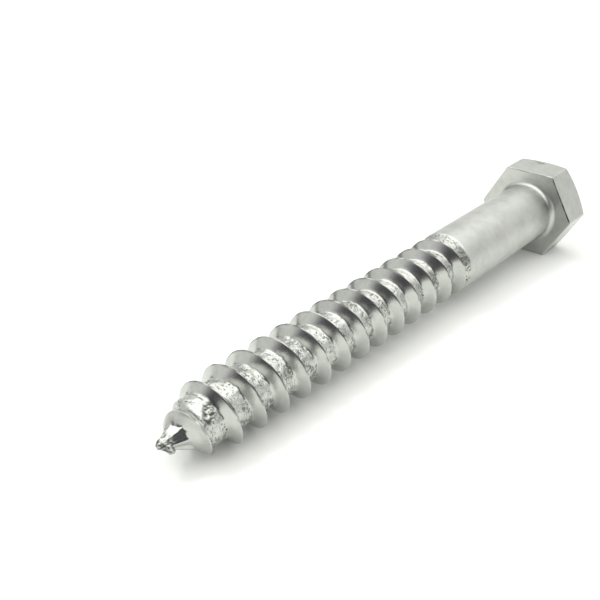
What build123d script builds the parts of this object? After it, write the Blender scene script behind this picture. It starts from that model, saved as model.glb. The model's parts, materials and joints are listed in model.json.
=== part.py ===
"""Hex lag screw, 3/8 in x 3 in with 7 threads to the inch: one forged and rolled piece of steel.

The screw lies at rest on its head's lower flat and on a thread crest. The origin is the centre of
the head's bearing face, the shank runs towards +X and +Z is up. All lengths are in millimetres.
"""

import os
from math import atan, ceil, cos, degrees, pi, radians, sin, tan

from build123d import *

os.makedirs("parts", exist_ok=True)

# Head: a hexagon with a chamfered top, a bevelled bearing edge and a fillet to the body.
across_flats = 14.1
head_height = 5.8
chamfer_circle = 12.8
chamfer_angle = 30.0
bearing_edge_bevel = 0.2
fillet_radius = 0.7

# Shank: a plain body under the head, then a cone down to the thread's core.
screw_length = 76.2
body_length = 23.2
body_diameter = 9.5
runout_length = 1.4

# Thread: a right-handed ridge with straight flanks, its crests a little inside the body's surface.
pitch = 25.4 / 7
root_diameter = 6.6
crest_clearance = 0.03
crest_flat = 0.25
flank_angle = 30.0
crest_angle_at_tip = 85.0
crest_taper_length = 9.2
crest_lead = 0.4

# Gimlet point: a slim cone with a blunt nose, flaring out to the core under the first crest.
nose_radius = 0.42
nose_bevel = 0.15
gimlet_length = 3.3
gimlet_radius = 1.65
flare_length = 1.4
ridge_start = 1.1

# Web: metal pushed out under the point, in front of the ridge where it nears its full height.
web_start = 3.5
web_length = 3.2
web_reach = 3.3

# Building values: how deep the ridge is rooted in the core and in the body, and its sections.
root_bury = 0.25
body_bury = 0.8
sections_per_turn = 12

body_radius = body_diameter / 2
root_radius = root_diameter / 2
crest_radius = body_radius - crest_clearance
corner_radius = across_flats / 2 / cos(radians(30))
thread_length = screw_length - body_length


def core_radius(distance):
    """Radius of the core under the thread, at a distance from the tip."""
    gimlet = nose_radius + (gimlet_radius - nose_radius) * distance / gimlet_length
    flare = gimlet_radius + (root_radius - gimlet_radius) * (distance - gimlet_length) / flare_length
    return min(max(gimlet, flare), root_radius)


def crest_radius_at(distance):
    """Radius of the thread's crest, which rises along the point to its full size."""
    rise = min((distance + crest_lead) / (crest_taper_length + crest_lead), 1.0)
    return crest_radius * (1 - (1 - rise) ** 2)


def web_at(distance):
    """How far the ridge's front foot is pushed towards the tip, at a distance from the tip."""
    share = min(max((distance - web_start) / web_length, 0.0), 1.0)
    return web_reach * sin(pi * share) ** 2


# Rest: the screw turns about the head's bearing edge until a crest under it meets the surface.
first_low_crest = pitch * (crest_angle_at_tip + 90) / 360
low_crests = [first_low_crest + pitch * turn for turn in range(int(thread_length / pitch))]
rest_slopes = [
    (across_flats / 2 - crest_radius_at(low)) / (screw_length - low + bearing_edge_bevel)
    for low in low_crests
]
tilt = atan(min(rest_slopes))

along = Vector(cos(tilt), 0, -sin(tilt))
upward = Vector(sin(tilt), 0, cos(tilt))
across = Plane(origin=(0, 0, 0), x_dir=(0, 1, 0), z_dir=along)
lengthwise = Plane(origin=(0, 0, 0), x_dir=along, z_dir=(0, -1, 0))
shank_axis = Axis((0, 0, 0), along)


def ridge_plane(distance):
    """Plane through the screw's axis that cuts the ridge at a distance from the tip."""
    angle = radians(crest_angle_at_tip - 360 * distance / pitch)
    outward = Vector(0, 1, 0) * cos(angle) + upward * sin(angle)
    centre = along * (screw_length - distance)
    return Plane(origin=centre, x_dir=along, z_dir=along.cross(outward))


def ridge_stretch(first, last):
    """A stretch of the thread's ridge, lofted between two distances from the tip."""
    steps = ceil(sections_per_turn * (last - first) / pitch)
    half_crest = crest_flat / 2
    with BuildPart() as stretch:
        for step in range(steps + 1):
            distance = first + (last - first) * step / steps
            crest = crest_radius_at(distance)
            height = crest - core_radius(distance) + root_bury
            foot = half_crest + height * tan(radians(flank_angle))
            front_foot = foot + web_at(distance)
            with BuildSketch(ridge_plane(distance)):
                with BuildLine():
                    Polyline(
                        (-foot, core_radius(distance) - root_bury),
                        (front_foot, core_radius(distance - front_foot) - root_bury),
                        (half_crest, crest),
                        (-half_crest, crest),
                        close=True,
                    )
                make_face()
        loft()
    return stretch.part


# The ridge is lofted about one turn at a time, from the point to its end inside the body.
ridge_end = thread_length + body_bury
stretch_count = ceil((ridge_end - ridge_start) / pitch)
stretch_length = (ridge_end - ridge_start) / stretch_count
ridge_stretches = [
    ridge_stretch(ridge_start + stretch_length * turn, ridge_start + stretch_length * (turn + 1))
    for turn in range(stretch_count)
]

with BuildPart() as lag_screw:
    # Hexagonal head, standing on its bearing face.
    with BuildSketch(across.offset(-head_height)):
        RegularPolygon(radius=across_flats / 2, side_count=6, major_radius=False)
    extrude(amount=head_height)
    chamfer(lag_screw.faces().sort_by(shank_axis)[-1].edges(), length=bearing_edge_bevel)

    # Chamfer that cuts the hexagon's corners at the top of the head.
    chamfer_reach = corner_radius - chamfer_circle / 2 + 1
    chamfer_depth = chamfer_reach * tan(radians(chamfer_angle))
    with BuildSketch(lengthwise):
        with BuildLine():
            Polyline(
                (-head_height, chamfer_circle / 2),
                (-head_height, chamfer_circle / 2 + chamfer_reach),
                (-head_height + chamfer_depth, chamfer_circle / 2 + chamfer_reach),
                close=True,
            )
        make_face()
    revolve(axis=shank_axis, mode=Mode.SUBTRACT)

    # Body, run-out cone, core and gimlet point, turned as one outline.
    with BuildSketch(lengthwise):
        with BuildLine():
            Polyline(
                (0, 0),
                (0, body_radius),
                (body_length, body_radius),
                (body_length + runout_length, root_radius),
                (screw_length - gimlet_length - flare_length, root_radius),
                (screw_length - gimlet_length, gimlet_radius),
                (screw_length, nose_radius),
                (screw_length, 0),
                close=True,
            )
        make_face()
    revolve(axis=shank_axis)
    chamfer(lag_screw.edges().sort_by(shank_axis)[-1], length=nose_bevel)

    # Fillet between the bearing face and the body.
    body_rings = lag_screw.edges().filter_by(GeomType.CIRCLE)
    body_rings = body_rings.filter_by(lambda ring: abs(ring.radius - body_radius) < crest_clearance)
    fillet(body_rings.sort_by(shank_axis)[0], radius=fillet_radius)

    # Rolled thread: every other stretch, then the ones that close the ridge between them.
    add(ridge_stretches[::2])
    add(ridge_stretches[1::2])

lag_screw.part.label = "lag_screw"
export_step(lag_screw.part, "parts/lag_screw.step")

print(f"tilt {degrees(tilt):.3f} deg, volume {lag_screw.part.volume:.1f} mm3")
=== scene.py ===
"""Studio scene of a hex lag screw, lying on a pale floor.

The screw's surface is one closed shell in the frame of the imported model. Its lengths are in
millimetres along and around the screw's own axis until the shell is finished. Then it is turned
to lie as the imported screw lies, and brought to metres.
"""

import json
import logging
import math
from dataclasses import dataclass, field
from enum import Enum

import bmesh
import bpy
from mathutils import Matrix, Vector, noise


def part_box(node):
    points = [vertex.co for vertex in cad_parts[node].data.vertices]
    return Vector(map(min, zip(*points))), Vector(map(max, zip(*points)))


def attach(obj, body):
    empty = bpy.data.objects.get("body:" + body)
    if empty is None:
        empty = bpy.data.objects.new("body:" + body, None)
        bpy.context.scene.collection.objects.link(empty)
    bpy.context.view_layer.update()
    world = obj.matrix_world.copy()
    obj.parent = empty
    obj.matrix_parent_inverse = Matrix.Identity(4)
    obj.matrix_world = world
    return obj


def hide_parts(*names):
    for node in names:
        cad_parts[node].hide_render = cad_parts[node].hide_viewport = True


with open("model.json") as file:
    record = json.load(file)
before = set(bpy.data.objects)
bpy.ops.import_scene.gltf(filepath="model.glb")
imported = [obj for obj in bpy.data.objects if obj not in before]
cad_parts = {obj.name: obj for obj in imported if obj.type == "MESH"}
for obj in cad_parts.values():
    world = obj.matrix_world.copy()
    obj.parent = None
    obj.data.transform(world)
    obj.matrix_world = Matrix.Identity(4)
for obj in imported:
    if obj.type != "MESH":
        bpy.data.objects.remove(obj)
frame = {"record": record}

LOG = logging.getLogger("lag_screw_scene")
MM = 0.001
# The level direction from the screw to the side that faces the eye.
NEAR_SIDE = (0.79, 0.62, 0.0)


class Attribute(Enum):
    """Names of the values that the shell carries for its finish, its dirt, and its painted shade
    and dark reflections.
    """

    ROOT = "root_share"
    BODY = "body_share"
    DIRT_AND_SHADE = "dirt_and_painted_shade_share"


def smooth_step(low: float, high: float, value: float) -> float:
    """Return 0 under low, 1 over high, and an even curve between them."""
    share = min(max((value - low) / (high - low), 0.0), 1.0)
    return share * share * (3 - 2 * share)


def soft_max(first: float, second: float, radius: float) -> float:
    """Return the larger value, with a fillet of about that radius where the two meet."""
    nearness = max(radius - abs(first - second), 0.0) / radius
    return max(first, second) + nearness * nearness * radius / 4


def soft_min(first: float, second: float, radius: float) -> float:
    """Return the smaller value, with a rounding of about that radius where the two meet."""
    return -soft_max(-first, -second, radius)


def bumps(place: Vector, size: float, shift: tuple[float, float, float] = (0, 0, 0)) -> float:
    """Return smooth noise from about -1 to 1, with bumps of about that size."""
    return noise.noise(place / size + Vector(shift))


def spoke(angle: float) -> Vector:
    """Return the direction away from the screw's axis at an angle in radians."""
    return Vector((0, math.cos(angle), math.sin(angle)))


def walk(ring: list[bmesh.types.BMEdge]) -> list[bmesh.types.BMVert]:
    """Return a closed ring's vertices in order, with their angle about the axis rising.

    Args:
        ring: The edges of the ring.

    Returns:
        The vertices, from the one with the lowest angle on.
    """
    neighbours: dict[bmesh.types.BMVert, list[bmesh.types.BMVert]] = {}
    for edge in ring:
        for vert in edge.verts:
            neighbours.setdefault(vert, []).append(edge.other_vert(vert))
    order = [min(neighbours, key=lambda vert: math.atan2(vert.co.z, vert.co.y))]
    ahead = min(neighbours[order[0]], key=lambda vert: math.atan2(vert.co.z, vert.co.y))
    while ahead is not order[0]:
        order.append(ahead)
        ahead = next(vert for vert in neighbours[ahead] if vert is not order[-2])
    return order


def drawn_out(
    shell: bmesh.types.BMesh, ring: list[bmesh.types.BMEdge]
) -> list[bmesh.types.BMEdge]:
    """Draw a new ring out of an open one, still in the same place.

    Args:
        shell: The mesh to add to.
        ring: The edges of the open ring.

    Returns:
        The edges of the new ring.
    """
    made = bmesh.ops.extrude_edge_only(shell, edges=ring)["geom"]
    edges = [item for item in made if isinstance(item, bmesh.types.BMEdge)]
    return [edge for edge in edges if edge.is_boundary]


def srgb(hex_colour: str) -> tuple[float, float, float, float]:
    """Turn an sRGB hex colour into a linear one.

    Args:
        hex_colour: Six hex digits after a hash sign.

    Returns:
        The linear red, green, blue and an alpha of 1.
    """
    channels = [int(hex_colour[start : start + 2], 16) / 255 for start in (1, 3, 5)]
    linear = [c / 12.92 if c <= 0.04045 else ((c + 0.055) / 1.055) ** 2.4 for c in channels]
    return (*linear, 1.0)


def add_node(
    tree: bpy.types.NodeTree,
    kind: str,
    values: dict[str | int, object] | None = None,
    links: dict[str | int, bpy.types.NodeSocket] | None = None,
    **settings: object,
) -> bpy.types.Node:
    """Add a node with its settings, values and links.

    Args:
        tree: The node tree to add to.
        kind: The node's type name.
        values: Input names or numbers to their values.
        links: Input names or numbers to the outputs that feed them.
        **settings: Settings of the node itself.

    Returns:
        The new node.
    """
    node = tree.nodes.new(kind)
    for name, setting in settings.items():
        setattr(node, name, setting)
    for name, value in (values or {}).items():
        node.inputs[name].default_value = value
    for name, output in (links or {}).items():
        tree.links.new(output, node.inputs[name])
    return node


@dataclass
class ThreadForm:
    """The shank's radius at each place: body, run-out, thread, gimlet point and web.

    A distance runs from the tip towards the head. An angle turns about the axis, in degrees,
    from +Y towards +Z.
    """

    # The body, the cone that leads down from it, and the core.
    length: float = 76.2
    body_length: float = 23.2
    body_radius: float = 4.75
    body_round: float = 0.12
    body_bury: float = 0.8
    runout_length: float = 1.4
    runout_fillet: float = 0.3
    root_radius: float = 3.3

    # The ridge: its crest line, its two flanks and its foot.
    pitch: float = 25.4 / 7
    crest_radius: float = 4.72
    crest_angle_at_tip: float = 85.0
    crest_flat: float = 0.08
    tip_flat: float = 0.1
    tip_flat_span: tuple[float, float] = (3.0, 9.0)
    crest_round: float = 0.12
    crest_taper: float = 9.2
    crest_lead: float = 0.4
    crest_sag: float = 0.28
    crest_sag_place: float = 3.2
    crest_sag_reach: float = 0.9
    flank_angle: float = 34.0
    first_flank_angle: float = 25.0
    flank_opening: tuple[float, float] = (4.3, 6.3)
    flank_hollow: float = 0.06
    back_angle: float = 28.0
    root_bury: float = 0.25
    root_fillet: float = 0.14
    root_fillet_span: tuple[float, float] = (2.0, 7.0)
    least_fillet: float = 0.05
    ridge_start: float = 1.25
    ridge_fade: float = 0.3
    ridge_fall: float = 3.0

    # The point: blunt nose, gimlet with two flats, web, collar and burrs.
    nose_radius: float = 0.42
    nose_round: float = 0.22
    gimlet_length: float = 3.3
    gimlet_radius: float = 1.66
    flare_length: float = 1.2
    flare_fillet: float = 0.15
    flare_round: float = 0.4
    facet_angles: tuple[float, float] = (88.0, 31.0)
    facet_depths: tuple[float, float] = (0.85, 0.84)
    facet_twist: float = 4.0
    facet_start: tuple[float, float] = (0.1, 0.6)
    web_span: tuple[float, float] = (2.9, 3.5)
    web_reach: float = 0.9
    collar_radius: float = 0.34
    collar_slope: float = 0.574
    collar_flat: float = 0.81
    collar_angle: float = 0.0
    collar_top: tuple[float, float] = (25.0, 16.0)
    collar_bottom: tuple[float, float] = (-150.0, -105.0)
    collar_start: tuple[float, float] = (0.9, 1.5)
    collar_round: float = 0.15
    lump_places: tuple[float, ...] = (1.0, 1.08)
    lump_angles: tuple[float, ...] = (-6.0, -44.0)
    lump_radii: tuple[float, ...] = (1.08, 1.5)
    lump_reach: float = 0.43
    lump_fall: float = 0.55
    lump_fillet: float = 0.15
    least_cosine: float = 0.3

    # The crest's narrow edge, along whose upper half a dark reflection is painted.
    edge_width: tuple[float, float] = (0.05, 0.16)
    edge_start: tuple[float, float] = (3.2, 4.2)
    edge_end: float = 0.8
    edge_rise: float = 0.45

    @property
    def shoulder(self) -> float:
        """Return the distance from the tip at which the body begins."""
        return self.length - self.body_length

    def first_crest(self, angle: float) -> float:
        """Return the distance at which the crest line's first turn passes an angle."""
        return self.pitch * (self.crest_angle_at_tip - angle) / 360

    def facet(self, distance: float, angle: float) -> float:
        """Share of the gimlet's radius that its two flats leave.

        Args:
            distance: Distance of the place from the tip.
            angle: Its angle.

        Returns:
            The share, 1 where neither flat cuts.
        """
        share = 1.0
        twist = self.facet_twist * (distance - self.gimlet_length)
        for middle, depth in zip(self.facet_angles, self.facet_depths):
            away = math.cos(math.radians(angle - middle - twist))
            share = min(share, depth / max(away, self.least_cosine))
        return share

    def gimlet(self, distance: float) -> float:
        """Return the radius that the gimlet would have without its flats."""
        growth = (self.gimlet_radius - self.nose_radius) / self.gimlet_length
        return self.nose_radius + growth * distance

    def core(self, distance: float, angle: float = -90.0) -> float:
        """Radius of the core, the run-out or the body.

        Args:
            distance: Distance of the place from the tip.
            angle: Its angle.

        Returns:
            The radius without the thread.
        """
        flat = 1 - (1 - self.facet(distance, angle)) * smooth_step(*self.facet_start, distance)
        gimlet = flat * self.gimlet(distance)
        flare = self.gimlet_radius + (
            (self.root_radius - self.gimlet_radius)
            * (distance - self.gimlet_length)
            / self.flare_length
        )
        point = soft_max(gimlet, flare, self.flare_fillet)
        point = soft_min(point, self.root_radius, self.flare_round)
        runout = self.body_radius + (
            (self.shoulder - distance) * (self.root_radius - self.body_radius) / self.runout_length
        )
        radius = soft_max(point, runout, self.runout_fillet)
        radius = soft_min(radius, self.body_radius, self.body_round)
        if distance < self.nose_round:
            sunk = self.nose_round - max(distance, 0.0)
            radius -= self.nose_round - math.sqrt(self.nose_round**2 - sunk**2)
        return radius

    def crest(self, distance: float) -> float:
        """Radius of the ridge's crest.

        Args:
            distance: Distance of the crest from the tip.

        Returns:
            The radius, which grows along the point and dips once near its start.
        """
        rise = min((distance + self.crest_lead) / (self.crest_taper + self.crest_lead), 1.0)
        sag = math.exp(-(((distance - self.crest_sag_place) / self.crest_sag_reach) ** 2))
        return self.crest_radius * (1 - (1 - rise) ** 2) - self.crest_sag * sag

    def web(self, distance: float) -> float:
        """Return how far the first ridge's front foot is drawn out towards the tip."""
        return self.web_reach * (1 - smooth_step(*self.web_span, distance))

    def collar(self, distance: float, angle: float) -> float:
        """Radius of the collar, the steel that is left under the gimlet.

        Args:
            distance: Distance of the place from the tip.
            angle: Its angle.

        Returns:
            The radius, 0 away from the collar.
        """
        around = (angle + 180) % 360 - 180
        share = smooth_step(*self.collar_top, around) * smooth_step(*self.collar_bottom, around)
        share *= smooth_step(*self.collar_start, distance)
        away = math.cos(math.radians(around - self.collar_angle))
        flat = self.collar_flat * self.gimlet(distance) / max(away, self.least_cosine)
        outer = min(self.collar_radius + self.collar_slope * distance, self.root_radius)
        return share * soft_min(flat, outer, self.collar_round)

    def lump(self, distance: float, angle: float) -> float:
        """Radius of the burrs where the ridge starts, beside the nose.

        Args:
            distance: Distance of the place from the tip.
            angle: Its angle.

        Returns:
            The radius, 0 away from the burrs.
        """
        highest = 0.0
        for place, middle, radius in zip(self.lump_places, self.lump_angles, self.lump_radii):
            around = (angle - middle + 180) % 360 - 180
            arc = math.radians(around) * radius
            away = math.hypot(distance - place, arc) / self.lump_reach
            highest = max(highest, radius - self.lump_fall * away**4)
        return highest

    def ridge(self, distance: float, centre: float) -> float:
        """Radius of the ridge's surface beside one of its crests.

        Args:
            distance: Distance of the place from the tip.
            centre: Distance of the crest from the tip, at the same angle.

        Returns:
            The radius, which falls away on both sides of the crest.
        """
        crest = self.crest(centre)
        half_flat = self.crest_flat / 2
        half_flat += self.tip_flat * (1 - smooth_step(*self.tip_flat_span, centre))
        away = distance - centre
        if away >= 0:
            flank = crest - (away - half_flat) / math.tan(math.radians(self.back_angle))
        else:
            slope = math.tan(math.radians(self.first_flank_angle))
            opened = smooth_step(*self.flank_opening, centre)
            slope += (math.tan(math.radians(self.flank_angle)) - slope) * opened
            # The core narrows towards the tip, so the flank's height is found in steps.
            height = crest - self.core(centre) + self.root_bury
            for _ in range(2):
                height = crest - self.core(max(centre - height * slope, 0.0)) + self.root_bury
            front_foot = half_flat + height * slope + self.web(centre)
            foot = self.core(max(centre - front_foot, 0.0)) - self.root_bury
            share = (front_foot + away) / (front_foot - half_flat)
            if share > 0:
                share = share ** (1 + self.flank_hollow)
            flank = foot + (crest - foot) * share
        fade = max(self.ridge_start - centre, 0.0) / self.ridge_fade
        return soft_min(crest, flank, self.crest_round) - self.ridge_fall * fade * fade

    def radius(self, distance: float, angle: float) -> tuple[float, float]:
        """Radius of the shank at a place.

        Args:
            distance: Distance of the place from the tip.
            angle: Its angle.

        Returns:
            The radius, and the share of the root that shows there, from 0 on a flank to 1.
        """
        core = self.core(distance, angle)
        turn = self.first_crest(angle)
        nearest = round((distance - turn) / self.pitch)
        ridges = []
        for step in (-1, 0, 1, 2):
            centre = turn + self.pitch * (nearest + step)
            if self.ridge_start - self.ridge_fade <= centre <= self.shoulder + self.body_bury:
                ridges.append(self.ridge(distance, centre))
        highest = max(ridges, default=0.0)
        shape = soft_max(core, self.collar(distance, angle), self.least_fillet)
        shape = soft_max(shape, self.lump(distance, angle), self.lump_fillet)
        fillet = self.root_fillet * smooth_step(*self.root_fillet_span, distance)
        for ridge in ridges:
            shape = soft_max(shape, ridge, fillet + self.least_fillet)
        return min(shape, self.body_radius), 1 - smooth_step(-0.1, 0.25, highest - core)

    def crest_before(self, distance: float, angle: float) -> float:
        """Return the distance from the tip of the next crest on the tip's side of a place."""
        turn = self.first_crest(angle)
        return turn + self.pitch * math.floor((distance - turn) / self.pitch)

    def on_crest(self, distance: float, angle: float) -> float:
        """Share of the crest's narrow edge at a place, where a dark reflection is painted.

        Args:
            distance: Distance of the place from the tip.
            angle: Its angle.

        Returns:
            The share, from 0 to 1 on the upper half of the crest line.
        """
        turns = (distance - self.first_crest(angle)) / self.pitch
        away = abs(turns - round(turns)) * self.pitch
        end = 1 - smooth_step(self.shoulder - self.edge_end, self.shoulder, distance)
        upper = smooth_step(0.0, self.edge_rise, math.sin(math.radians(angle)))
        share = (1 - smooth_step(*self.edge_width, away)) * end * upper
        return share * smooth_step(*self.edge_start, distance)


@dataclass
class RolledSurface:
    """Small unevenness that rolling and tumbling leave on the steel."""

    dent_depth: float = 0.14
    dent_size: float = 1.7
    hammer_depth: float = 0.09
    hammer_size: float = 0.8
    dimple_depth: float = 0.05
    dimple_size: float = 0.42
    dimple_middle: float = 0.2
    lap_depth: float = 0.07
    lap_size: float = 1.6
    lap_width: float = 0.04
    lap_patch: float = 2.3
    lap_squeeze: float = 1.5
    flank_wave: float = 0.02
    flank_wave_size: float = 1.9
    body_wave: float = 0.01
    body_wave_size: float = 5.0
    burr_depth: float = 0.13
    burr_size: float = 0.42
    # The stains: place along the axis, angle in degrees, and reach.
    stain_places: tuple[tuple[float, float, float], ...] = (
        (70.1, 57.0, 0.75),
        (70.4, 47.0, 0.85),
        (70.75, 37.0, 0.8),
        (70.6, -18.0, 0.55),
        (66.2, 18.0, 0.5),
        (62.2, -28.0, 0.6),
        (58.9, 38.0, 0.45),
    )
    stain_radius: float = 3.3
    stain_edge: tuple[float, float] = (0.6, 1.05)
    pit_depth: float = 0.07
    pit_size: float = 0.33

    def stain(self, place: Vector) -> float:
        """Depth of one of the pitted stains at a place.

        Args:
            place: The place on the screw.

        Returns:
            The share of the full depth, from 0 to 1 in the middle of a pit.
        """
        deepest = 0.0
        for along, angle, reach in self.stain_places:
            middle = Vector((along, 0, 0))
            away = (place - middle - spoke(math.radians(angle)) * self.stain_radius).length / reach
            deepest = max(deepest, 1 - smooth_step(*self.stain_edge, away))
        return deepest * smooth_step(-0.16, 0.1, bumps(place, self.pit_size, (1.7, 3.9, 6.1)))

    def lap(self, place: Vector) -> float:
        """Depth of a fold of the rolled steel at a place.

        Args:
            place: The place on the screw.

        Returns:
            The share of the full depth, from 0 to 1 in the middle of a fold.
        """
        squeezed = Vector((place.x * self.lap_squeeze, place.y, place.z))
        fold = abs(bumps(squeezed, self.lap_size, (7.3, 1.9, 4.1)))
        patch = smooth_step(0.0, 0.18, bumps(place, self.lap_patch, (2.7, 9.2, 5.5)))
        return patch * math.exp(-((fold / self.lap_width) ** 2))

    def depth(self, place: Vector, root: float, wear: float, nub: float) -> float:
        """Height of the surface at a place, over its smooth form.

        Args:
            place: The place on the screw.
            root: Share of the root that shows there.
            wear: Strength of the roughness in the roots, largest near the point.
            nub: Share of the nose's burrs there.

        Returns:
            How far the surface is pushed out, under zero for a hollow.
        """
        hammer = bumps(place, self.hammer_size) * self.hammer_depth
        hammer += bumps(place, self.dent_size, (5.2, 6.1, 0.7)) * self.dent_depth
        dimple = -abs(bumps(place, self.dimple_size, (3.1, 0.4, 8.8)))
        dimple = (dimple + self.dimple_middle) * self.dimple_depth
        lap = -self.lap_depth * self.lap(place)
        flank = bumps(place, self.flank_wave_size) * self.flank_wave * wear
        wave = (bumps(place, self.body_wave_size) - 1) * self.body_wave
        burr = bumps(place, self.burr_size) * self.burr_depth * nub
        pits = -self.pit_depth * self.stain(place)
        return root * wear * (hammer + dimple + lap + pits) + flank * (1 - root) + wave + burr


@dataclass
class Shank:
    """Body, thread and point, as a shell whose mesh lines follow the thread."""

    form: ThreadForm = field(default_factory=ThreadForm)
    surface: RolledSurface = field(default_factory=RolledSurface)

    # Mesh lines: past the crest's flat, over the flank's share, past its foot, over the root.
    crest_lines: tuple[float, ...] = (-0.015, 0.01, 0.04, 0.08, 0.15)
    flank_lines: tuple[float, ...] = (0.33, 0.5, 0.67, 0.84, 0.94)
    foot_line: float = 0.06
    root_lines: tuple[float, ...] = (0.2, 0.36, 0.52, 0.68, 0.84, 1.0)
    steps_per_turn: int = 120
    first_turn: int = 16
    turns: int = 17
    cut: float = 21.0
    nose_rings: tuple[float, ...] = (0.6, 0.3)
    fillet_radius: float = 0.8
    fillet_steps: int = 9
    fillet_rim: float = 0.06
    body_step: float = 0.6
    even_rings: int = 6

    # Where the roots are rough, and where the finish changes.
    rough_start: tuple[float, float] = (2.3, 3.3)
    rough_end: tuple[float, float] = (-0.25, 0.3)
    wear_span: tuple[float, float] = (10.0, 40.0)
    wear_loss: float = 0.4
    nub_span: tuple[float, float] = (1.1, 1.9)
    nub_radius: tuple[float, float] = (2.0, 1.4)
    nub_dirt: float = 0.8
    satin_start: tuple[float, float] = (-0.5, 0.4)
    first_ridge_satin: float = 0.5
    first_ridge_rise: tuple[float, float] = (0.1, 0.45)
    first_ridge_end: tuple[float, float] = (3.9, 5.6)
    stain_dirt: float = 0.9
    # Darkness of the painted dark reflection on the crest's upper edge.
    edge_reflection_darkness: float = 0.75
    head_satin: float = 0.6

    def build(self, shell: bmesh.types.BMesh) -> list[bmesh.types.BMEdge]:
        """Add the shank to the shell.

        Args:
            shell: The mesh to add to.

        Returns:
            The edges of the ring where the fillet meets the bearing face.
        """
        self._sweep_thread(shell)
        self._close_tip(shell)
        self._shape(shell)
        return self._draw_body(shell)

    def _profile(self) -> list[float]:
        """Places of the mesh lines along one pitch, from one root's middle to the next.

        Returns:
            Their distances from the crest, rising.
        """
        half_flat = self.form.crest_flat / 2
        height = self.form.crest_radius - self.form.root_radius
        foot = half_flat + height * math.tan(math.radians(self.form.flank_angle))
        half_pitch = self.form.pitch / 2
        side = [half_flat + past for past in self.crest_lines]
        side += [half_flat + (foot - half_flat) * share for share in self.flank_lines]
        side += [foot + self.foot_line]
        side += [foot + (half_pitch - foot) * share for share in self.root_lines]
        return [-place for place in reversed(side)] + [0.0] + side

    def _sweep_thread(self, shell: bmesh.types.BMesh) -> None:
        """Sweep one pitch of mesh lines along the helix, and trim it at the body and the tip.

        Args:
            shell: The mesh to add to.
        """
        form = self.form
        crest = form.length - self.first_turn * form.pitch
        outward = spoke(math.radians(form.crest_angle_at_tip))
        line = [shell.verts.new(Vector((crest + x, 0, 0)) + outward) for x in self._profile()]
        edges = [shell.edges.new(pair) for pair in zip(line, line[1:])]
        bmesh.ops.spin(
            shell,
            geom=line + edges,
            cent=(0, 0, 0),
            axis=(1, 0, 0),
            dvec=(form.pitch / self.steps_per_turn, 0, 0),
            angle=math.tau,
            steps=self.steps_per_turn,
            use_merge=False,
        )
        one_turn = shell.verts[:] + shell.edges[:] + shell.faces[:]
        for turn in range(1, self.turns):
            copied = bmesh.ops.duplicate(shell, geom=one_turn)["geom"]
            verts = [item for item in copied if isinstance(item, bmesh.types.BMVert)]
            bmesh.ops.translate(shell, vec=(form.pitch * turn, 0, 0), verts=verts)
        bmesh.ops.remove_doubles(shell, verts=shell.verts, dist=1e-3)
        for place, outer in ((self.cut, False), (form.length, True)):
            bmesh.ops.bisect_plane(
                shell,
                geom=shell.verts[:] + shell.edges[:] + shell.faces[:],
                dist=5e-3,
                plane_co=(place, 0, 0),
                plane_no=(1, 0, 0),
                clear_outer=outer,
                clear_inner=not outer,
            )

    def _rim(self, shell: bmesh.types.BMesh, place: float) -> list[bmesh.types.BMEdge]:
        """Return the open edges at a distance from the bearing face."""
        return [
            edge
            for edge in shell.edges
            if edge.is_boundary and all(abs(v.co.x - place) < 0.02 for v in edge.verts)
        ]

    def _close_tip(self, shell: bmesh.types.BMesh) -> None:
        """Close the blunt nose with two rings and a flat middle.

        Args:
            shell: The mesh to close.
        """
        ring = self._rim(shell, self.form.length)
        for share in self.nose_rings:
            ring = drawn_out(shell, ring)
            for vert in {v for edge in ring for v in edge.verts}:
                outward = Vector((0, vert.co.y, vert.co.z)).normalized()
                vert.co = Vector((self.form.length, 0, 0)) + outward * share
        bmesh.ops.contextual_create(shell, geom=ring)

    def _shape(self, shell: bmesh.types.BMesh) -> None:
        """Give every place of the swept mesh its radius, its unevenness and its finish values.

        Args:
            shell: The swept mesh, on a cylinder of radius 1.
        """
        form, surface = self.form, self.surface
        root_layer, body_layer, dirt_and_shade_layer = (
            shell.verts.layers.float.new(name.value) for name in Attribute
        )
        for vert in shell.verts:
            distance = form.length - vert.co.x
            share = math.hypot(vert.co.y, vert.co.z)
            outward = Vector((0, vert.co.y, vert.co.z)).normalized()
            angle = math.degrees(math.atan2(vert.co.z, vert.co.y))
            radius, root = form.radius(distance, angle)
            place = Vector((vert.co.x, 0, 0)) + outward * radius
            past = distance - form.shoulder

            # Roughness of the roots, and the burrs of the nose.
            rough = smooth_step(*self.rough_start, form.crest_before(distance, angle))
            rough *= 1 - smooth_step(*self.rough_end, past)
            wear = rough * (1 - self.wear_loss * smooth_step(*self.wear_span, distance))
            nub = 1 - smooth_step(*self.nub_span, distance)
            nub *= smooth_step(*self.nub_radius, radius)
            push = surface.depth(place, root, wear, nub)
            vert.co = Vector((vert.co.x, 0, 0)) + outward * (radius + push) * min(share, 1.0)

            # Satin of the body and of the first ridge.
            rise = smooth_step(*self.first_ridge_rise, radius - form.core(distance, angle))
            first = rise * (1 - smooth_step(*self.first_ridge_end, distance))
            vert[root_layer] = root * rough
            vert[body_layer] = max(
                smooth_step(*self.satin_start, past), self.first_ridge_satin * first
            )

            # Dirt in folds and stains and between the burrs, and a painted dark reflection on the
            # crest's upper edge.
            folds = max(surface.lap(place), self.stain_dirt * surface.stain(place))
            burrs = smooth_step(-0.1, 0.3, bumps(place, 0.33)) * self.nub_dirt
            edge_patches = smooth_step(-0.25, 0.3, bumps(place, 0.9, (4.2, 0, 8.1)))
            edge = form.on_crest(distance, angle) * edge_patches * self.edge_reflection_darkness
            vert[dirt_and_shade_layer] = max(folds * root * wear, nub * burrs, edge)

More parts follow.
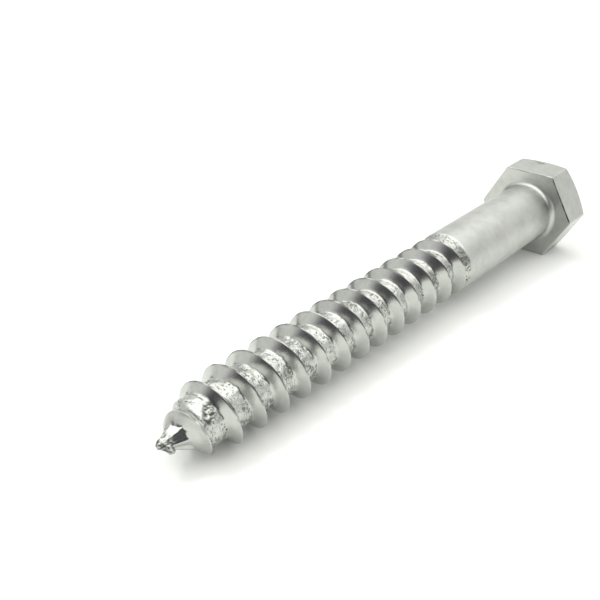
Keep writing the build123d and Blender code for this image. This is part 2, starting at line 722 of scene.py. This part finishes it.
    def _draw_body(self, shell: bmesh.types.BMesh) -> list[bmesh.types.BMEdge]:
        """Draw the body's rings out of the cut, and turn the last ones into the fillet.

        Args:
            shell: The mesh to add to.

        Returns:
            The edges of the last ring.
        """
        body_layer = shell.verts.layers.float[Attribute.BODY.value]
        places = []
        x = self.cut - self.body_step
        while x > self.fillet_radius + self.body_step / 2:
            places.append((x, self.form.body_radius, 1.0))
            x -= self.body_step
        for step in range(self.fillet_steps + 1):
            angle = math.pi / 2 * step / self.fillet_steps
            x = self.fillet_radius * (1 - math.sin(angle))
            radius = self.form.body_radius + self.fillet_radius * (1 - math.cos(angle))
            places.append((x, radius, self.head_satin))
        places.append((0.0, radius + self.fillet_rim, self.head_satin))
        ring = self._rim(shell, self.cut)
        for index, (x, radius, satin) in enumerate(places):
            ring = drawn_out(shell, ring)
            verts = walk(ring)
            first = math.atan2(verts[0].co.z, verts[0].co.y)
            for number, vert in enumerate(verts):
                angle = math.atan2(vert.co.z, vert.co.y)
                even = first + math.tau * number / len(verts)
                angle += (even - angle) * smooth_step(-1, self.even_rings, index)
                place = Vector((x, 0, 0)) + spoke(angle) * radius
                push = self.surface.depth(place, 0.0, 0.0, 0.0) if satin == 1.0 else 0.0
                vert.co = place + spoke(angle) * push
                vert[body_layer] = satin
        return ring


@dataclass
class HexHead:
    """The forged hexagon with its chamfered top."""

    across_flats: float = 14.1
    height: float = 5.8
    corner_round: float = 0.14
    gathering: float = 0.85

    # The bearing face's rounded edge, and the rings of the sides, as shares of their height.
    edge_round: float = 0.15
    edge_steps: int = 4
    edge_rim: float = 0.08
    side_shares: tuple[float, ...] = (0.01, 0.06, 0.3, 0.6, 0.78, 0.83, 0.88, 0.93, 1.0)

    # The top: a chamfer, a flat and the narrow steps that keep their edges crisp.
    chamfer_circle: float = 12.8
    chamfer_angle: float = 30.0
    chamfer_shares: tuple[float, ...] = (0.0, 0.35, 0.7, 1.0)
    crisp: tuple[float, float, float, float] = (0.06, 0.04, 0.05, 0.06)
    top_rings: tuple[float, ...] = (5.6, 4.2, 2.8, 1.4)

    # Marks: the middle angles of the two sides along which the bearing face's edge is darker, and
    # a dent in the upper flat with painted shade in it.
    darker_side: float = 30.0
    dimmer_side: float = 90.0
    dimmer_share: float = 0.4
    dent_place: tuple[float, float] = (-4.7, -0.6)
    dent_reach: tuple[float, float] = (0.5, 1.3)
    dent_depth: float = 0.14
    # Darkness of the painted shade in the dent.
    dent_shade: float = 0.75

    def _outline(self, angle: float) -> float:
        """Radius of the hexagon, with its corners rounded.

        Args:
            angle: The angle about the axis, in radians.

        Returns:
            The radius.
        """
        flats = [
            self.across_flats / 2 / max(math.cos(angle - math.radians(30 + 60 * side)), 0.05)
            for side in range(6)
        ]
        nearest = sorted(flats)[:2]
        return soft_min(nearest[0], nearest[1], self.corner_round * 2)

    def _gathered(self, angle: float) -> float:
        """Return an angle in radians moved towards the nearest of the hexagon's corners."""
        share = angle * 3 / math.pi
        return angle - math.sin(math.tau * share) / math.tau * self.gathering * math.pi / 3

    def _chamfer_x(self, radius: float) -> float:
        """Return how far back the chamfered top lies, at a radius."""
        slope = math.tan(math.radians(self.chamfer_angle))
        return -self.height + (radius - self.chamfer_circle / 2) * slope

    def _rings(self, angle: float) -> list[tuple[float, float]]:
        """Section of the head at an angle.

        Args:
            angle: The angle about the axis, in radians.

        Returns:
            The place and radius of every ring, from the bearing face on.
        """
        outline = self._outline(angle)
        bevel = self.edge_round
        below, inside, beyond, within = self.crisp
        places = [(0.0, outline - bevel - self.edge_rim)]
        for step in range(self.edge_steps + 1):
            turn = math.pi / 2 * step / self.edge_steps
            places.append((bevel * (math.cos(turn) - 1), outline - bevel * (1 - math.sin(turn))))
        top = self._chamfer_x(outline) + below
        places += [(-bevel + (top + bevel) * share, outline) for share in self.side_shares]
        outer, inner = outline - inside, self.chamfer_circle / 2 + beyond
        for share in self.chamfer_shares:
            radius = outer + (inner - outer) * share
            places.append((self._chamfer_x(radius), radius))
        flat = [self.chamfer_circle / 2 - within, *self.top_rings]
        return places + [(-self.height, radius) for radius in flat]

    def _dent(self, place: Vector) -> float:
        """Depth of the small dent on the upper flat at a place.

        Args:
            place: The place on the head.

        Returns:
            The share of the full depth, from 0 to 1 in the middle of the dent.
        """
        if place.z < self.across_flats / 2 - 0.2:
            return 0.0
        along = (place.x - self.dent_place[0]) / self.dent_reach[0]
        across = (place.y - self.dent_place[1]) / self.dent_reach[1]
        return 1 - smooth_step(0.1, 1.0, math.hypot(along, across))

    def _edge_darkening(self, place: Vector) -> float:
        """Darkening of the bearing face's edge.

        Args:
            place: The place on the edge.

        Returns:
            The share of the darkening, highest along the darker side.
        """
        angle = math.degrees(math.atan2(place.z, place.y))
        share = smooth_step(31.0, 27.0, abs(angle - self.darker_side))
        share += self.dimmer_share * smooth_step(26.0, 20.0, abs(angle - self.dimmer_side))
        return share * (0.75 + 0.5 * bumps(place, 1.1))

    def build(self, shell: bmesh.types.BMesh, ring: list[bmesh.types.BMEdge]) -> None:
        """Draw the head out of the ring where the shank's fillet meets the bearing face.

        Args:
            shell: The mesh to add to.
            ring: The edges of that ring.
        """
        dirt_and_shade_layer = shell.verts.layers.float[Attribute.DIRT_AND_SHADE.value]
        gathered = {}
        for vert in {v for edge in ring for v in edge.verts}:
            angle = math.atan2(vert.co.z, vert.co.y)
            gathered[round(angle, 5)] = self._gathered(angle)
        for index in range(len(self._rings(0.0))):
            ring = drawn_out(shell, ring)
            for vert in {v for edge in ring for v in edge.verts}:
                angle = math.atan2(vert.co.z, vert.co.y)
                if index == 0:
                    angle = gathered[round(angle, 5)]
                x, radius = self._rings(angle)[index]
                place = Vector((x, radius * math.cos(angle), radius * math.sin(angle)))
                dent = self._dent(place)
                on_edge = 1 <= index <= self.edge_steps
                # The bearing edge is darkened along two sides, and painted shade darkens the dent.
                vert[dirt_and_shade_layer] = self._edge_darkening(place) if on_edge else self.dent_shade * dent
                vert.co = place - Vector((0, 0, self.dent_depth * dent))
        bmesh.ops.contextual_create(shell, geom=ring)


@dataclass(frozen=True)
class ZincPlate:
    """Bright zinc plate over forged and rolled steel.

    It gives a cool silver with a faint green-grey cast. The thread's roots stay rough and
    speckled, the flanks are smooth, and the body has a satin grain.
    """

    silver: str = "#C3C5C0"
    dull: str = "#AFB1AC"
    # The dark tone of cracks, pits and dirt, also used for the painted shade and dark reflections.
    crack_and_shade_colour: str = "#343633"
    flank_roughness: float = 0.19
    root_roughness: float = 0.17
    body_roughness: float = 0.46
    dirt_roughness: float = 0.3
    grain_mm: float = 0.16
    patch_mm: float = 2.4
    speck_mm: float = 0.34
    speck_squeeze: float = 1.9
    speck_level: float = -1.15
    speck_in_roots: float = 0.35
    speck_in_patches: float = 0.5
    speck_dirt: float = 0.75
    relief_mm: float = 0.05
    body_relief: float = 0.12
    root_relief: float = 0.6

    def build(self) -> bpy.types.Material:
        """Make the material.

        Returns:
            The finished material.
        """
        material = bpy.data.materials.new("bright_zinc_plate")
        material.use_nodes = True
        tree = material.node_tree
        tree.nodes.clear()
        place = add_node(tree, "ShaderNodeTexCoord").outputs["Object"]
        shares = {}
        for name in Attribute:
            reader = add_node(tree, "ShaderNodeAttribute", attribute_name=name.value)
            shares[name] = reader.outputs["Fac"]
        squeezed = add_node(
            tree,
            "ShaderNodeVectorMath",
            {1: (self.speck_squeeze, 1.0, 1.0)},
            {0: place},
            operation="MULTIPLY",
        ).outputs["Vector"]
        # Grain: the plate's fine satin, which breaks up every reflection a little. The real
        # grain is finer, and is drawn this coarse to show.
        # Patches: broad cloudy stains, faint on the flanks.
        # Specks: small dark pits, drawn out a little around the screw.
        clouds = {}
        for name, where, size, detail, roughness in (
            ("grain", place, self.grain_mm, 3.0, 0.6),
            ("patches", place, self.patch_mm, 5.0, 0.65),
            ("specks", squeezed, self.speck_mm, 4.0, 0.7),
        ):
            clouds[name] = add_node(
                tree,
                "ShaderNodeTexNoise",
                {"Scale": 1 / (size * MM), "Detail": detail, "Roughness": roughness},
                {"Vector": where},
            ).outputs["Fac"]
        # The specks stand thick in the roots and in the patches, and sparse elsewhere.
        speck_height = add_node(
            tree,
            "ShaderNodeMath",
            {1: self.speck_in_roots, 2: self.speck_level},
            {0: shares[Attribute.ROOT]},
            operation="MULTIPLY_ADD",
        ).outputs[0]
        for weight, cloud in ((self.speck_in_patches, "patches"), (1.0, "specks")):
            speck_height = add_node(
                tree,
                "ShaderNodeMath",
                {1: weight},
                {0: clouds[cloud], 2: speck_height},
                operation="MULTIPLY_ADD",
            ).outputs[0]
        pitted = add_node(
            tree,
            "ShaderNodeMapRange",
            {"From Max": 0.07, "To Max": self.speck_dirt},
            {"Value": speck_height},
        ).outputs["Result"]
        # Dark tone: pits, folds, stains and burrs, with the painted dark reflection on the crest,
        # the painted shade in the head's dent, and the darker bearing edge.
        dirt_and_painted_dark = add_node(
            tree,
            "ShaderNodeMath",
            None,
            {0: pitted, 1: shares[Attribute.DIRT_AND_SHADE]},
            operation="MAXIMUM",
        ).outputs[0]
        tone = add_node(
            tree,
            "ShaderNodeMapRange",
            {"From Min": 0.42, "From Max": 0.72, "To Max": 0.8},
            {"Value": clouds["patches"]},
        ).outputs["Result"]
        colour = add_node(
            tree,
            "ShaderNodeMix",
            {6: srgb(self.silver), 7: srgb(self.dull)},
            {0: tone},
            data_type="RGBA",
        ).outputs[2]
        colour = add_node(
            tree,
            "ShaderNodeMix",
            {7: srgb(self.crack_and_shade_colour)},
            {0: dirt_and_painted_dark, 6: colour},
            data_type="RGBA",
        ).outputs[2]
        # Roughness starts at the flanks' and changes with each share.
        rough = None
        for share, change in (
            (shares[Attribute.ROOT], self.root_roughness - self.flank_roughness),
            (shares[Attribute.BODY], self.body_roughness - self.flank_roughness),
            (dirt_and_painted_dark, self.dirt_roughness),
        ):
            rough = add_node(
                tree,
                "ShaderNodeMath",
                {1: change, 2: self.flank_roughness},
                {0: share} if rough is None else {0: share, 2: rough},
                operation="MULTIPLY_ADD",
            ).outputs[0]
        # Bump: pits and grain too fine for the mesh.
        relief = add_node(
            tree,
            "ShaderNodeMath",
            {1: -1.0},
            {0: dirt_and_painted_dark, 2: clouds["grain"]},
            operation="MULTIPLY_ADD",
        ).outputs[0]
        strength = add_node(
            tree,
            "ShaderNodeMath",
            {1: self.root_relief, 2: self.body_relief},
            {0: shares[Attribute.ROOT]},
            operation="MULTIPLY_ADD",
        ).outputs[0]
        normal = add_node(
            tree,
            "ShaderNodeBump",
            {"Distance": self.relief_mm * MM},
            {"Height": relief, "Strength": strength},
        ).outputs["Normal"]
        shader = add_node(
            tree,
            "ShaderNodeBsdfPrincipled",
            {"Metallic": 1.0},
            {"Base Color": colour, "Roughness": rough, "Normal": normal},
        )
        add_node(tree, "ShaderNodeOutputMaterial", None, {"Surface": shader.outputs["BSDF"]})
        return material


@dataclass(frozen=True)
class PalePaper:
    """Matt white paper, which gives a shadowless white, with a painted shade that turns it grey on
    the near side.
    """

    white: str = "#E9EAE8"
    # The paper's white, the grey of the painted shade, and the distances on the near side over
    # which the paper turns grey.
    grey: str = "#7C7E7C"
    fall: tuple[float, float] = (0.085, 0.14)
    roughness: float = 0.9
    gloss: float = 0.1

    def build(self) -> bpy.types.Material:
        """Make the material.

        Returns:
            The finished material.
        """
        material = bpy.data.materials.new("pale_paper")
        material.use_nodes = True
        tree = material.node_tree
        tree.nodes.clear()
        # Painted shade: the paper turns grey between these distances on the screw's near side.
        ahead = add_node(
            tree,
            "ShaderNodeVectorMath",
            {1: Vector(NEAR_SIDE).normalized()},
            {0: add_node(tree, "ShaderNodeTexCoord").outputs["Object"]},
            operation="DOT_PRODUCT",
        ).outputs["Value"]
        share = add_node(
            tree,
            "ShaderNodeMapRange",
            {"From Min": self.fall[0], "From Max": self.fall[1]},
            {"Value": ahead},
            interpolation_type="SMOOTHSTEP",
        ).outputs["Result"]
        colour = add_node(
            tree,
            "ShaderNodeMix",
            {6: srgb(self.white), 7: srgb(self.grey)},
            {0: share},
            data_type="RGBA",
        ).outputs[2]
        shader = add_node(
            tree,
            "ShaderNodeBsdfPrincipled",
            {"Roughness": self.roughness, "Specular IOR Level": self.gloss},
            {"Base Color": colour},
        )
        add_node(tree, "ShaderNodeOutputMaterial", None, {"Surface": shader.outputs["BSDF"]})
        return material


@dataclass
class LagScrew:
    """The whole screw, one piece of steel."""

    shank: Shank = field(default_factory=Shank)
    head: HexHead = field(default_factory=HexHead)
    finish: ZincPlate = field(default_factory=ZincPlate)
    sharp_angle: float = 32.0

    def build(self) -> bpy.types.Object:
        """Make the screw in place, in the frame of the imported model.

        Returns:
            The finished object.
        """
        shell = bmesh.new()
        self.head.build(shell, self.shank.build(shell))
        bmesh.ops.remove_doubles(shell, verts=shell.verts, dist=1e-4)
        bmesh.ops.recalc_face_normals(shell, faces=shell.faces)
        bmesh.ops.transform(shell, matrix=self._lay_down(), verts=shell.verts)
        for face in shell.faces:
            face.smooth = True
        open_edges = sum(1 for edge in shell.edges if not edge.is_manifold)
        mesh = bpy.data.meshes.new("lag_screw_steel")
        shell.to_mesh(mesh)
        shell.free()
        mesh.set_sharp_from_angle(angle=math.radians(self.sharp_angle))
        screw = bpy.data.objects.new("lag_screw_steel", mesh)
        bpy.context.scene.collection.objects.link(screw)
        mesh.materials.append(self.finish.build())
        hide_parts("lag_screw")
        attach(screw, "root")
        LOG.info("%s: %d faces, %d open edges", screw.name, len(mesh.polygons), open_edges)
        return screw

    def _lay_down(self) -> Matrix:
        """Turn the screw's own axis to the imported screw's, and millimetres to metres.

        Returns:
            The matrix that does both.
        """
        mounts = {mount["name"]: mount for mount in frame["record"]["mounts"]}
        along = Vector(mounts["bearing_face"]["axis"]).normalized()
        across = Vector((0, 1, 0))
        upward = along.cross(across)
        turn = Matrix((along, across, upward)).transposed().to_4x4()
        return turn @ Matrix.Scale(MM, 4)


@dataclass
class Studio:
    """Floor, light, tent and camera."""

    paper: PalePaper = field(default_factory=PalePaper)
    floor_size: float = 3.0
    floor_middle: float = 0.03

    # The key light: the side it hangs on, its distance, its width and its brightness.
    key_target: tuple[float, float, float] = (0.035, 0.0, 0.0)
    key_side: tuple[float, float, float] = (0.24, -0.42, 0.88)
    key_distance: float = 0.6
    key_size: float = 0.12
    key_radiance: float = 12.0

    # The tent: its brightness at the sides, overhead, low on the near side and in the gap.
    tent_colour: str = "#FCFCFA"
    dark_colour: str = "#D9CFDD"
    sides: float = 0.95
    overhead: float = 2.15
    dark: float = 0.14
    gap: float = 0.15
    overhead_span: tuple[float, float] = (0.57, 0.8)
    near_span: tuple[float, float] = (0.35, 0.72)
    low_span: tuple[float, float] = (0.6, 0.36)
    gap_side: tuple[float, float, float] = (0.21, -0.978, 0.0)
    gap_span: tuple[float, float] = (0.955, 0.985)

    # The camera: its place, and the directions that lie to its right and below.
    lens: float = 44.23
    sensor: float = 36.0
    clip: tuple[float, float] = (0.01, 10.0)
    eye: tuple[float, float, float] = (0.107582, 0.054636, 0.050248)
    eye_right: tuple[float, float, float] = (-0.700326, 0.713210, -0.029687)
    eye_down: tuple[float, float, float] = (0.374651, 0.331840, -0.865746)

    def build(self) -> None:
        """Make the floor, the light, the tent and the camera."""
        self._floor()
        self._key()
        self._tent()
        self._camera()
        bpy.context.scene.view_settings.view_transform = "Standard"

    def _floor(self) -> None:
        """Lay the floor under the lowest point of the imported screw."""
        low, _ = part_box("lag_screw")
        shell = bmesh.new()
        bmesh.ops.create_grid(shell, x_segments=1, y_segments=1, size=self.floor_size / 2)
        bmesh.ops.translate(shell, vec=(self.floor_middle, 0, low.z), verts=shell.verts)
        mesh = bpy.data.meshes.new("floor")
        shell.to_mesh(mesh)
        shell.free()
        floor = bpy.data.objects.new("floor", mesh)
        bpy.context.scene.collection.objects.link(floor)
        mesh.materials.append(self.paper.build())
        LOG.info("floor at %.2f mm", low.z / MM)

    def _key(self) -> None:
        """Hang the light that gives the shadows their side, unseen in the bright metal."""
        light = bpy.data.lights.new("key", "AREA")
        light.shape = "RECTANGLE"
        light.size = light.size_y = self.key_size
        light.energy = self.key_radiance * math.pi * self.key_size * self.key_size
        lamp = bpy.data.objects.new("key", light)
        target = Vector(self.key_target)
        place = target + Vector(self.key_side).normalized() * self.key_distance
        lamp.location = place
        lamp.rotation_euler = (target - place).to_track_quat("-Z", "Y").to_euler()
        lamp.visible_glossy = False
        bpy.context.scene.collection.objects.link(lamp)

    def _tent(self) -> None:
        """Surround the screw with a pale tent, brightest overhead and open on its near side."""
        world = bpy.data.worlds.new("pale_tent")
        bpy.context.scene.world = world
        world.use_nodes = True
        tree = world.node_tree
        tree.nodes.clear()
        direction = add_node(tree, "ShaderNodeTexCoord").outputs["Generated"]
        # How far each direction points up, to the near side and to the gap.
        shares = {}
        for name, side, (low, high) in (
            ("overhead", (0.0, 0.0, 1.0), self.overhead_span),
            ("near", NEAR_SIDE, self.near_span),
            ("low", (0.0, 0.0, 1.0), self.low_span),
            ("gap", self.gap_side, self.gap_span),
        ):
            cosine = add_node(
                tree,
                "ShaderNodeVectorMath",
                {1: Vector(side).normalized()},
                {0: direction},
                operation="DOT_PRODUCT",
            ).outputs["Value"]
            shares[name] = add_node(
                tree,
                "ShaderNodeMapRange",
                {"From Min": low, "From Max": high},
                {"Value": cosine},
                interpolation_type="SMOOTHSTEP",
            ).outputs["Result"]
        shares["dark"] = add_node(
            tree,
            "ShaderNodeMath",
            None,
            {0: shares["near"], 1: shares["low"]},
            operation="MULTIPLY",
        ).outputs[0]
        brightness = None
        for name, level in (("overhead", self.overhead), ("dark", self.dark), ("gap", self.gap)):
            brightness = add_node(
                tree,
                "ShaderNodeMix",
                {2: self.sides, 3: level},
                {0: shares[name]} if brightness is None else {0: shares[name], 2: brightness},
                data_type="FLOAT",
            ).outputs[0]
        colour = add_node(
            tree,
            "ShaderNodeMix",
            {6: srgb(self.tent_colour), 7: srgb(self.dark_colour)},
            {0: shares["dark"]},
            data_type="RGBA",
        ).outputs[2]
        background = add_node(
            tree, "ShaderNodeBackground", None, {"Color": colour, "Strength": brightness}
        )
        add_node(tree, "ShaderNodeOutputWorld", None, {"Surface": background.outputs[0]})

    def _camera(self) -> None:
        """Set the camera over the point's side of the screw."""
        camera = bpy.data.cameras.new("camera")
        camera.sensor_width = self.sensor
        camera.lens = self.lens
        camera.clip_start, camera.clip_end = self.clip
        right = Vector(self.eye_right).normalized()
        down = Vector(self.eye_down)
        down = (down - right * down.dot(right)).normalized()
        turn = Matrix((right, -down, right.cross(-down))).transposed().to_4x4()
        eye = bpy.data.objects.new("camera", camera)
        eye.matrix_world = Matrix.Translation(Vector(self.eye)) @ turn
        bpy.context.scene.collection.objects.link(eye)
        bpy.context.scene.camera = eye


def main() -> None:
    """Build the screw and the studio."""
    logging.basicConfig(level=logging.INFO, format="%(name)s: %(message)s")
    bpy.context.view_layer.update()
    LagScrew().build()
    Studio().build()


if __name__ == "__main__":
    main()
